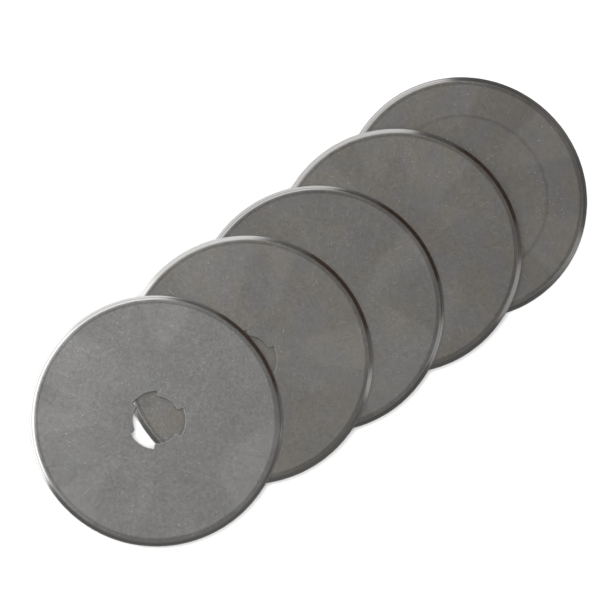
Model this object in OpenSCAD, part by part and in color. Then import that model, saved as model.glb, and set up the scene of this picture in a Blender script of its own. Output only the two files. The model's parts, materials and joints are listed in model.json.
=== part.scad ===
// Five spare blades for a rotary cutter, fanned out in a row.
// Each is a thin round steel blade with a double-ground edge and a three-lobed hub hole.
// The last blade lies flat on the table, and each of the others leans on the one after it.
// +X runs along the row from the topmost blade to the lowest, +Z is up, and z = 0 is the table.
// The origin is under the middle of the row.

/* [Blade] */
// Diameter over the cutting edge
blade_d = 45; // [40:0.5:60]
// Thickness of the steel sheet
blade_t = 0.3; // [0.2:0.05:0.5]
// Width of the ground bevel, along the radius
bevel_w = 1; // [0.6:0.1:2]
// Thickness left at the very edge
edge_t = 0.02; // [0.01:0.01:0.05]

/* [Hub hole] */
// Diameter across the three lands that centre the blade
land_d = 8.4; // [6:0.1:9.4]
// Diameter across the three lobes
lobe_d = 10.4; // [9.6:0.1:13]
// Angle that one lobe takes up
lobe_angle = 56; // [30:1:80]

/* [Row] */
// Distance along the row from the first blade to the second
step_1 = 19.8; // [13:0.1:25]
// Distance along the row from the second blade to the third
step_2 = 16.1; // [13:0.1:25]
// Distance along the row from the third blade to the fourth
step_3 = 18; // [13:0.1:25]
// Distance along the row from the fourth blade to the fifth
step_4 = 16; // [13:0.1:25]
// How far the second blade lies to the side of the end blades
side_2 = -0.75; // [-3:0.05:3]
// How far the third blade lies to the side of the end blades
side_3 = -0.9; // [-3:0.05:3]
// How far the fourth blade lies to the side of the end blades
side_4 = -0.75; // [-3:0.05:3]
// Clear gap between a blade and the blade that it lies on
lap_gap = 0.02; // [0.01:0.01:0.1]

/* [Hub hole turns] */
// Direction of the first blade's lobes
turn_1 = 80; // [0:1:119]
// Direction of the second blade's lobes
turn_2 = 83; // [0:1:119]
// Direction of the third blade's lobes
turn_3 = 72; // [0:1:119]
// Direction of the fourth blade's lobes
turn_4 = 60; // [0:1:119]
// Direction of the fifth blade's lobes
turn_5 = 88; // [0:1:119]

/* [Hidden] */
$fn = 180;
LAST = 4;                               // the fifth blade, counting from 0
cut_over = 1;                           // how far the hole's cutter stands out of each face

steps = [step_1, step_2, step_3, step_4];
sides = [0, side_2, side_3, side_4, 0];
turns = [turn_1, turn_2, turn_3, turn_4, turn_5];

blade_r = blade_d / 2;
flat_r = blade_r - bevel_w;             // radius of the flat face inside the bevel
rise = blade_t + lap_gap;               // what one blade lifts the next by

// Distance along the row from the first blade's centre to blade i's
function along(i) = i == 0 ? 0 : along(i - 1) + steps[i - 1];

// Middle of the row's outline
mid_x = along(LAST) / 2;
mid_y = (max(sides) + min(sides)) / 2;

// Lean of blade i, in degrees. Its low side stands on the table, and it touches the blade
// under it either at that blade's near rim or at its own far rim, whichever lifts it more.
function lean(i) =
    i == LAST ? 0 :
    let (
        near_rim = rise / steps[i],
        far_rim = (rise + (2 * flat_r - steps[i]) * sin(lean(i + 1))) / (2 * flat_r)
    )
    asin(max(near_rim, far_rim));

// The steel disc, ground to an edge from both faces, with its underside at z = 0
module disc() {
    rotate_extrude()
        polygon([
            [0, 0],
            [flat_r, 0],
            [blade_r, (blade_t - edge_t) / 2],
            [blade_r, (blade_t + edge_t) / 2],
            [flat_r, blade_t],
            [0, blade_t]
        ]);
}

// One lobe of the hub hole, pointing along +X
module lobe() {
    reach = lobe_d * 0.75;
    intersection() {
        cylinder(d = lobe_d, h = blade_t + 2 * cut_over);
        linear_extrude(blade_t + 2 * cut_over)
            polygon([
                [0, 0],
                [reach * cos(lobe_angle / 2), -reach * sin(lobe_angle / 2)],
                [reach * cos(lobe_angle / 2), reach * sin(lobe_angle / 2)]
            ]);
    }
}

// The hub hole's cutter: a round bore with three wider lobes
module hub_hole() {
    translate([0, 0, -cut_over]) {
        cylinder(d = land_d, h = blade_t + 2 * cut_over);
        for (k = [0:2])
            rotate(120 * k)
                lobe();
    }
}

// Blade i in its place in the row
module blade(i) {
    translate([along(i) - mid_x, sides[i] - mid_y, flat_r * sin(lean(i))])
        rotate([0, -lean(i), 0])
            difference() {
                disc();
                rotate(turns[i])
                    hub_hole();
            }
}

module blade_1() { color("#8a8a89") blade(0); }
module blade_2() { color("#767473") blade(1); }
module blade_3() { color("#706f6d") blade(2); }
module blade_4() { color("#6b6a66") blade(3); }
module blade_5() { color("#686766") blade(4); }

blade_1();
blade_2();
blade_3();
blade_4();
blade_5();
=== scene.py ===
import json
import math

import bmesh
import bpy
from mathutils import Matrix, Vector


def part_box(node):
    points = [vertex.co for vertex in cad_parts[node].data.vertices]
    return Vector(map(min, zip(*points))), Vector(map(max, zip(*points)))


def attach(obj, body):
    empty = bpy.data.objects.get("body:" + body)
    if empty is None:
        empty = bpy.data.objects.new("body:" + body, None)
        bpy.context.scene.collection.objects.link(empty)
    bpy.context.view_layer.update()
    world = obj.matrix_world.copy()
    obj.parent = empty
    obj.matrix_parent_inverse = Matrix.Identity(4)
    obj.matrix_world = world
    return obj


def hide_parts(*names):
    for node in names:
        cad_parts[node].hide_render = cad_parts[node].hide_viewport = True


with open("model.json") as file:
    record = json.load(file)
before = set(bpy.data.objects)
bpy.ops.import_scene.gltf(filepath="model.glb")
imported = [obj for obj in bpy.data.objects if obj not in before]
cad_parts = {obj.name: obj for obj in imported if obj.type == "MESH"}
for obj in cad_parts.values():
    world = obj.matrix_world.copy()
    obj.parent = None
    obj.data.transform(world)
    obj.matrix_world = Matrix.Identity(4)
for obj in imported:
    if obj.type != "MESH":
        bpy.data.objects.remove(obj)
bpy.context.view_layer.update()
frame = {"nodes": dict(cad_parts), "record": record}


# ---- The blade blank ----------------------------------------------------------------------
# A disc stamped from 0.3 mm strip of tool steel, hardened, then ground to an edge from both
# faces while it turns. Every blade is the same, so one blank is modelled flat at the origin
# and copied later. Its main sizes are read from the first blade's hub hole and outline.

MM = 0.001
hubs = {m["name"]: m for m in frame["record"]["mounts"] if m["kind"] == "clamp"}
first_hub = hubs["blade_1_hub_hole"]["dims"]
low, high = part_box("blade_1")

EDGE_R = (high.y - low.y) / 2            # the cutting edge
HALF_T = first_hub["length_mm"] * MM / 2
LAND_R = first_hub["r_mm"] * MM          # the three lands that centre the blade
LOBE_R = 5.2 * MM
LOBE_HALF = math.radians(28)             # half the angle that one lobe takes up
SEGMENTS = 360

BEVEL_W = 1.0 * MM                       # the ground bevel
SHOULDER_W = 0.6 * MM                    # the rounded shoulder where the bevel sets in
HONE_W = 0.01 * MM                       # the last touch of the hone, at the very edge
HONE_H = 0.01 * MM                       # half the thickness of the sheet where it starts
FLAT_R = EDGE_R - BEVEL_W
SHOULDER_R = FLAT_R - SHOULDER_W / 2


def half_thickness(radius):
    """Half the thickness of the sheet, over the shoulder and down the bevel to the hone."""
    slope = (HALF_T - HONE_H) / (BEVEL_W - HONE_W)
    past = radius - SHOULDER_R
    if past < SHOULDER_W:
        return HALF_T - slope * past ** 2 / (2 * SHOULDER_W)
    return HALF_T - slope * (radius - FLAT_R)


def pick(kind, test):
    """In edit mode, selects the vertices, edges or faces that pass a test, and no others."""
    bpy.ops.mesh.select_mode(type={"verts": "VERT", "edges": "EDGE", "faces": "FACE"}[kind])
    bpy.ops.mesh.select_all(action="DESELECT")
    mesh = bpy.context.object.data
    shape = bmesh.from_edit_mesh(mesh)
    for item in getattr(shape, kind):
        if test(item):
            item.select_set(True)
    shape.select_flush_mode()
    bmesh.update_edit_mesh(mesh)


def from_axis(point):
    return math.hypot(point.x, point.y)


def off_lobe(point):
    """Angle between a point and the middle of the nearest lobe. One lobe points along +X."""
    angle = math.atan2(point.y, point.x) % math.radians(120)
    return min(angle, math.radians(120) - angle)


# The upper half of the rim: a ring on the flat face, drawn outwards and down to the edge
BODY_R = SHOULDER_R - 0.2 * MM
bpy.ops.object.select_all(action="DESELECT")
bpy.ops.mesh.primitive_circle_add(
    vertices=SEGMENTS, radius=BODY_R, fill_type="NOTHING", location=(0, 0, HALF_T)
)
blank = bpy.context.object
blank.name = "blade_blank"
bpy.ops.object.transform_apply(location=True)
bpy.ops.object.mode_set(mode="EDIT")
SHOULDER_STEPS = 6
rings = [SHOULDER_R + SHOULDER_W * k / SHOULDER_STEPS for k in range(SHOULDER_STEPS + 1)]
rings.append(EDGE_R - HONE_W)
rim = [(radius, half_thickness(radius)) for radius in rings] + [(EDGE_R, 0)]
radius, height = BODY_R, HALF_T
for next_radius, next_height in rim:
    bpy.ops.mesh.extrude_region_move(
        TRANSFORM_OT_translate={"value": (0, 0, next_height - height)}
    )
    bpy.ops.transform.resize(
        value=(next_radius / radius, next_radius / radius, 1), center_override=(0, 0, 0)
    )
    radius, height = next_radius, next_height

# The hub hole's outline on the flat face: a round bore, let out into three lobes. It starts
# wider than the hole by a flat margin, which keeps the face flat, and by the rolled lip.
MARGIN = 0.10 * MM
LIP = 0.05 * MM
start_land = LAND_R + MARGIN + LIP
start_lobe = LOBE_R + MARGIN + LIP
bpy.ops.mesh.primitive_circle_add(
    vertices=SEGMENTS, radius=start_land, fill_type="NGON", location=(0, 0, HALF_T)
)
grid = math.radians(360 / SEGMENTS)
spread = (MARGIN + LIP) / ((LAND_R + LOBE_R) / 2)
lobe_edge = round((LOBE_HALF + spread) / grid) * grid + grid / 2
pick("verts", lambda v: from_axis(v.co) < start_lobe and off_lobe(v.co) < lobe_edge)
bpy.ops.transform.resize(
    value=(start_lobe / start_land, start_lobe / start_land, 1), center_override=(0, 0, 0)
)

# Its six pairs of corners, each cleared of nearby points and rounded
ROUND = 0.28 * MM
corner = grid
room = corner + ROUND * 1.3 / LAND_R
pick(
    "verts",
    lambda v: from_axis(v.co) < BODY_R / 2
    and corner < abs(off_lobe(v.co) - lobe_edge) < room,
)
bpy.ops.mesh.dissolve_verts()
pick(
    "verts",
    lambda v: from_axis(v.co) < BODY_R / 2 and abs(off_lobe(v.co) - lobe_edge) < corner,
)
bpy.ops.mesh.bevel(offset=ROUND, segments=8, affect="VERTICES")

# The margin, the lip that stamping rolled over, and the wall down to the middle of the sheet
pick("faces", lambda f: len(f.verts) > SEGMENTS / 2)
bpy.ops.mesh.inset(thickness=MARGIN)
LIP_STEPS = 5
for step in range(LIP_STEPS):
    here, there = (math.radians(90) * (step + k) / LIP_STEPS for k in (0, 1))
    bpy.ops.mesh.inset(
        thickness=LIP * (math.sin(there) - math.sin(here)),
        depth=-LIP * (math.cos(here) - math.cos(there)),
    )
bpy.ops.mesh.extrude_region_move(
    TRANSFORM_OT_translate={"value": (0, 0, LIP - HALF_T)}
)
bpy.ops.mesh.delete(type="FACE")

# The flat face between the hole's margin and the rim, then the lower half by a mirror
pick(
    "edges",
    lambda e: e.is_boundary and all(abs(v.co.z - HALF_T) < LIP / 10 for v in e.verts),
)
bpy.ops.mesh.bridge_edge_loops()
bpy.ops.object.mode_set(mode="OBJECT")
bpy.ops.object.modifier_add(type="MIRROR")
mirror = blank.modifiers[-1]
mirror.use_axis = (False, False, True)
mirror.merge_threshold = HONE_H / 10
bpy.ops.object.modifier_apply(modifier=mirror.name)
bpy.ops.object.mode_set(mode="EDIT")
bpy.ops.mesh.select_all(action="SELECT")
bpy.ops.mesh.normals_make_consistent(inside=False)

# The stamped wall of the hole gets the second material slot
for slot in range(2):
    bpy.ops.object.material_slot_add()
pick(
    "faces",
    lambda f: abs(f.normal.z) < 0.1 and from_axis(f.calc_center_median()) < BODY_R / 2,
)
blank.active_material_index = 1
bpy.ops.object.material_slot_assign()
bpy.ops.object.mode_set(mode="OBJECT")
bpy.ops.object.shade_smooth_by_angle(angle=math.radians(35))


# ---- The steel's finish -------------------------------------------------------------------
# Satin tool steel: a fine even grain from tumbling, faint clouds and tints from hardening,
# and light laser-etched ticks. Fans spreading from the hub are painted reflection, and a dark
# line at the shoulder is painted shade. The bevel is bare ground metal, smoother than the
# faces, with fine lines that run round the blade.

class Wire:
    """A shader node's output. Sums and products of wires add Math nodes to the material."""

    def __init__(self, tree, socket=None):
        self.tree = tree
        self.socket = socket

    def node(self, kind, settings=None, sockets=None, output=0):
        """Adds a node, sets it up, feeds its inputs and gives back one of its outputs."""
        made = self.tree.nodes.new(kind)
        for name, value in (settings or {}).items():
            setattr(made, name, value)
        for key, value in (sockets or {}).items():
            if isinstance(value, Wire):
                self.tree.links.new(value.socket, made.inputs[key])
            else:
                made.inputs[key].default_value = value
        return Wire(self.tree, made.outputs[output])

    def math(self, operation, *others):
        inputs = dict(enumerate((self, *others)))
        return self.node("ShaderNodeMath", {"operation": operation}, inputs)

    def __add__(self, other):
        return self.math("ADD", other)

    def __radd__(self, other):
        return self.math("ADD", other)

    def __sub__(self, other):
        return self.math("SUBTRACT", other)

    def __rsub__(self, other):
        return self.math("MULTIPLY_ADD", -1.0, other)

    def __mul__(self, other):
        return self.math("MULTIPLY", other)

    def __rmul__(self, other):
        return self.math("MULTIPLY", other)

    def step(self, start, end):
        """0 below start and 1 above end, with a smooth rise between them."""
        ramp = {"Value": self, "From Min": start, "From Max": end}
        return self.node("ShaderNodeMapRange", {"interpolation_type": "SMOOTHSTEP"}, ramp)

    def band(self, start, end, soft):
        """1 between start and end, and 0 outside them."""
        return self.step(start - soft, start + soft) * (1 - self.step(end - soft, end + soft))

    def noise(self, scale, detail, seed):
        """Soft noise from 0 to 1 in this wire's vector, with scale in bumps per unit."""
        inputs = {"Vector": self, "W": seed, "Scale": scale, "Detail": detail}
        return self.node("ShaderNodeTexNoise", {"noise_dimensions": "4D"}, inputs)

    def mix(self, blend, factor, one, two):
        """Two colours mixed, or multiplied, by a factor."""
        settings = {"data_type": "RGBA", "blend_type": blend}
        return self.node("ShaderNodeMix", settings, {0: factor, 6: one, 7: two}, output=2)


def shades(tone, tint):
    """A colour socket's value: a grey tone with a slight tint of red, green and blue."""
    return (*[tone * part for part in tint], 1)


def blade_finish(name, centre, turn, tone, bright, warmth, worn, seed):
    """Steel for one blade. Its pattern is centred on the hub and turns with the blade."""
    material = bpy.data.materials.new(name)
    material.use_nodes = True
    tree = material.node_tree
    shader = tree.nodes["Principled BSDF"]
    bench = Wire(tree)

    place = bench.node("ShaderNodeTexCoord", output="Object")
    place = bench.node(
        "ShaderNodeMapping",
        {"vector_type": "TEXTURE"},
        {"Vector": place, "Location": centre, "Rotation": (0, 0, turn), "Scale": (MM, MM, MM)},
    )
    x = bench.node("ShaderNodeSeparateXYZ", sockets={"Vector": place}, output="X")
    y = bench.node("ShaderNodeSeparateXYZ", sockets={"Vector": place}, output="Y")
    radius = (x * x + y * y).math("SQRT")
    angle = y.math("ARCTAN2", x)
    flat = FLAT_R / MM
    ground = radius.step(flat + 0.14, flat + 0.36)

    # Clouds, tints, mottles and grain of the satin faces, and fans that spread from the hub.
    # The
    # fans are painted reflection: the lighter and darker wedges that a lapped face reflects.
    # The scales are in bumps per millimetre, as the pattern's place is in millimetres.
    cloud = place.noise(0.11, 3.0, seed)
    tint = place.noise(0.19, 2.0, seed + 5)
    mottle = place.noise(1.1, 2.0, seed + 7)
    grain = place.noise(2.6, 2.0, seed + 9)
    spoke = bench.node(
        "ShaderNodeCombineXYZ",
        sockets={"X": angle.math("COSINE"), "Y": angle.math("SINE"), "Z": radius * 0.03},
    )
    painted_fan_reflection = spoke.noise(1.9, 0.0, seed + 13).step(0.46, 0.54) * radius.step(6.0, 15.0)

    # Etched ticks: two plain rings of thin dashes, worn away in places
    def ticks(inner, outer, count, width):
        """A ring of dashes, with half a dash's width given as a share of their spacing."""
        across = (angle * (count / (2 * math.pi))).math("FRACT")
        kept = spoke.noise(1.3, 0.0, seed + inner).step(0.45, 0.6)
        dash = across.band(0.5 - width, 0.5 + width, width / 2)
        return dash * radius.band(inner, outer, 0.12) * kept

    inner_ring = ticks(inner=10.5, outer=11.3, count=30, width=0.028)
    outer_ring = ticks(inner=17.5, outer=18.9, count=40, width=0.022)
    etched = inner_ring.math("MAXIMUM", outer_ring)

    # How light each spot is, with painted reflection in the fans, a dark line of painted shade
    # at the shoulder, and a ring worn round the middle
    shade = (
        1.0
        + (cloud - 0.5) * 0.20
        + (mottle - 0.5) * 0.22
        + (grain - 0.5) * 0.42
        # painted reflection: the fans' lighter and darker wedges
        + (painted_fan_reflection - 0.5) * 0.11
        # painted shade: the darker line that the rounding shoulder reflects
        - radius.band(flat - 0.45, flat + 0.2, 0.12) * 0.30
        - radius.band(14.9, 15.4, 0.35) * worn
    )
    warm = shades(tone, [1 + warmth * part for part in (0.8, 0.0, -1.4)])
    cool = shades(tone, [1 + warmth * part for part in (0.3, 0.0, -0.3)])
    face = bench.mix("MIX", tint.step(0.38, 0.62), warm, cool)
    face = bench.mix("MIX", etched * 0.5, face, shades(tone * 1.25, (1, 1, 1)))
    grey = bench.node(
        "ShaderNodeCombineColor", sockets={"Red": shade, "Green": shade, "Blue": shade}
    )
    face = bench.mix("MULTIPLY", 1.0, face, grey)

    # The bare bevel, whose grinding lines run round the blade
    lines = bench.node(
        "ShaderNodeTexNoise",
        {"noise_dimensions": "1D"},
        {"W": radius + seed, "Scale": 4.5, "Detail": 3.0},
    )
    dull = shades(bright * 0.80, (1.0, 0.98, 0.95))
    bare = bench.mix("MIX", lines.step(0.35, 0.65), dull, shades(bright * 1.15, (1, 1, 1)))
    colour = bench.mix("MIX", ground, face, bare)
    tree.links.new(colour.socket, shader.inputs["Base Color"])

    face_roughness = 0.25 + (grain - 0.5) * 0.08 + (cloud - 0.5) * 0.05 + etched * 0.06
    bare_roughness = 0.09 + (lines - 0.5) * 0.06
    roughness = face_roughness * (1 - ground) + bare_roughness * ground
    tree.links.new(roughness.socket, shader.inputs["Roughness"])
    tree.links.new((0.88 + 0.12 * ground).socket, shader.inputs["Metallic"])

    relief = (grain - 0.5) * (1 - ground) + (lines - 0.5) * ground * 0.5
    bump = bench.node(
        "ShaderNodeBump",
        sockets={"Height": relief, "Strength": 1.0, "Distance": 0.0012 * MM},
        output="Normal",
    )
    tree.links.new(bump.socket, shader.inputs["Normal"])
    return material


# Stamping leaves the wall of the hole scored from face to face, and scale leaves it dark. Its
# colour is also painted darker, as painted shade for the dark line along the hole's edge.
stamped = bpy.data.materials.new("stamped_wall")
stamped.use_nodes = True
shader = stamped.node_tree.nodes["Principled BSDF"]
bench = Wire(stamped.node_tree)
place = bench.node("ShaderNodeTexCoord", output="Object")
place = bench.node(
    "ShaderNodeMapping", sockets={"Vector": place, "Scale": (1 / MM, 1 / MM, 0.5 / MM)}
)
score = place.noise(9.0, 2.0, 0.0)
neutral = (1, 1, 1)
colour = bench.mix("MIX", score.step(0.3, 0.7), shades(0.05, neutral), shades(0.16, neutral))
stamped.node_tree.links.new(colour.socket, shader.inputs["Base Color"])
stamped.node_tree.links.new((0.35 + score * 0.3).socket, shader.inputs["Roughness"])
shader.inputs["Metallic"].default_value = 1.0


# ---- The row of blades --------------------------------------------------------------------
# Five loose blades, fanned out. The last lies flat and each of the others leans on the next,
# so each takes its place, its lean and the direction of its lobes from the frame.

def lobes_point(node, centre):
    """Direction of the lobes of a blade's hub hole, from the furthest points of its wall."""
    points = [v.co - centre for v in frame["nodes"][node].data.vertices]
    wall = [p for p in points if LAND_R * 1.15 < from_axis(p) < LOBE_R * 1.15]
    turns = [3 * math.atan2(p.y, p.x) for p in wall]
    return math.atan2(sum(map(math.sin, turns)), sum(map(math.cos, turns))) / 3


# The tone of each blade's faces and of its bare bevel, how warm the faces are, and how dark
# the ring worn round its middle is. The tones are painted light: the blades are one steel,
# painted lightest on blade_1 and darker on the others, for the light each blade reflects.
STEELS = {
    "blade_1": {"tone": 0.565, "bright": 0.61, "warmth": 0.01, "worn": 0.0},
    "blade_2": {"tone": 0.465, "bright": 0.57, "warmth": 0.06, "worn": 0.0},
    "blade_3": {"tone": 0.44, "bright": 0.46, "warmth": 0.05, "worn": 0.0},
    "blade_4": {"tone": 0.42, "bright": 0.47, "warmth": 0.07, "worn": 0.0},
    "blade_5": {"tone": 0.415, "bright": 0.46, "warmth": 0.06, "worn": 0.20},
}
SEED_STEP = 3.7                          # sets each blade's clouds and grain apart
for number, (node, steel) in enumerate(STEELS.items()):
    hub = hubs[node + "_hub_hole"]
    centre = Vector(hub["pos_m"])
    axis = Vector(hub["axis"])
    turn = lobes_point(node, centre)

    bpy.ops.object.select_all(action="DESELECT")
    blank.select_set(True)
    bpy.context.view_layer.objects.active = blank
    bpy.ops.object.duplicate(linked=False)
    blade = bpy.context.object
    blade.name = node + "_ground"
    blade.data.name = blade.name
    blade.rotation_mode = "ZYX"
    blade.rotation_euler = (0, math.atan2(axis.x, axis.z), turn)
    blade.location = centre
    bpy.ops.object.transform_apply(location=True, rotation=True, scale=True)
    blade.data.materials[0] = blade_finish(
        node + "_steel", centre, turn, seed=number * SEED_STEP, **steel
    )
    blade.data.materials[1] = stamped
    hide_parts(node)
    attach(blade, node)
bpy.data.objects.remove(blank)


# ---- The table, the lights and the camera -------------------------------------------------
# A white table top under the row. Level soft boxes hang to the left and behind, for the bevels
# to reflect, and a black card hangs to the right, with two faint boxes by it. Six low panels
# light the table all round, and the steel doesn't reflect them.

bpy.ops.object.select_all(action="DESELECT")
bpy.ops.mesh.primitive_plane_add(size=6, location=(0, 0, -0.02 * MM))
bpy.ops.object.transform_apply(location=True)
table = bpy.context.object
table.name = "table_top"
CARD_H = 1.3
bpy.ops.object.select_all(action="DESELECT")
bpy.ops.mesh.primitive_plane_add(size=1, location=(0.65, 0.115, CARD_H))
card = bpy.context.object
card.name = "black_card"
card.scale = (0.32, 0.36, 1)
bpy.ops.object.transform_apply(location=True, rotation=True, scale=True)
for backdrop, colour in ((table, (0.86, 0.86, 0.86, 1)), (card, (0.03, 0.016, 0.010, 1))):
    paint = bpy.data.materials.new(backdrop.name + "_paint")
    paint.use_nodes = True
    paint.node_tree.nodes["Principled BSDF"].inputs["Base Color"].default_value = colour
    paint.node_tree.nodes["Principled BSDF"].inputs["Roughness"].default_value = 0.9
    backdrop.data.materials.append(paint)


def panel(name, place, turn, width, length, glow):
    """A soft rectangular light, level and facing down before it is turned."""
    lamp = bpy.data.lights.new(name, "AREA")
    lamp.shape = "RECTANGLE"
    lamp.size, lamp.size_y = width, length
    lamp.energy = glow * math.pi * width * length
    held = bpy.data.objects.new(name, lamp)
    bpy.context.scene.collection.objects.link(held)
    held.location = place
    held.rotation_euler = turn
    return held


BOX_H = 1.0
panel("soft_box_left", (-0.495, 0.40, BOX_H), (0, 0, math.radians(34)), 0.9, 0.7, 1.5)
panel("soft_box_back", (0.246, 0.714, BOX_H), (0, 0, math.radians(-4)), 0.54, 0.72, 1.0)
panel("soft_box_right", (0.82, 0.10, BOX_H), (0, 0, 0), 0.28, 0.5, 0.12)
panel("glint_box", (0.42, -0.20, BOX_H), (0, 0, 0), 0.2, 0.1, 0.4)
SIDE_REACH, SIDE_H = 1.6, 0.9
SIDE_W, SIDE_L = 1.2, 0.8
for number, glow in enumerate((5.0, 6.0, 6.0, 5.0, 3.5, 3.5)):
    turn = math.radians(60 * number)
    place = Vector((SIDE_REACH * math.cos(turn), SIDE_REACH * math.sin(turn), SIDE_H))
    faced = place.to_track_quat("Z", "Y").to_euler()
    side = panel(f"side_panel_{number + 1}", place, faced, SIDE_W, SIDE_L, glow)
    side.visible_glossy = False

# The room: a dim ceiling, which the faces reflect when seen from above, and paler walls
scene = bpy.context.scene
world = bpy.data.worlds.new("room")
world.use_nodes = True
world.node_tree.nodes["Background"].inputs["Color"].default_value = shades(1, (1, 0.98, 0.95))
room = Wire(world.node_tree)
up = room.node("ShaderNodeTexCoord", output="Generated")
up = room.node("ShaderNodeSeparateXYZ", sockets={"Vector": up}, output="Z")
walls = 1 - up.step(0.15, 0.65)
CEILING_GLOW, WALL_GLOW = 0.15, 0.50
glow = CEILING_GLOW + (WALL_GLOW - CEILING_GLOW) * walls
world.node_tree.links.new(glow.socket, world.node_tree.nodes["Background"].inputs["Strength"])
scene.world = world
scene.view_settings.view_transform = "Standard"

# The camera: high over blade_1's end of the row, looking down at the middle
EYE = Vector((-0.1043, -0.0430, 0.5484))
AIM = Vector((-0.0010, 0.0029, 0))
ROLL = math.radians(29.79)
camera = bpy.data.cameras.new("camera")
camera.lens = 186.4
camera.sensor_width = 36
holder = bpy.data.objects.new("camera", camera)
scene.collection.objects.link(holder)
holder.location = EYE
look = (AIM - EYE).to_track_quat("-Z", "Y").to_matrix()
holder.rotation_euler = (look @ Matrix.Rotation(ROLL, 3, "Z")).to_euler()
scene.camera = holder
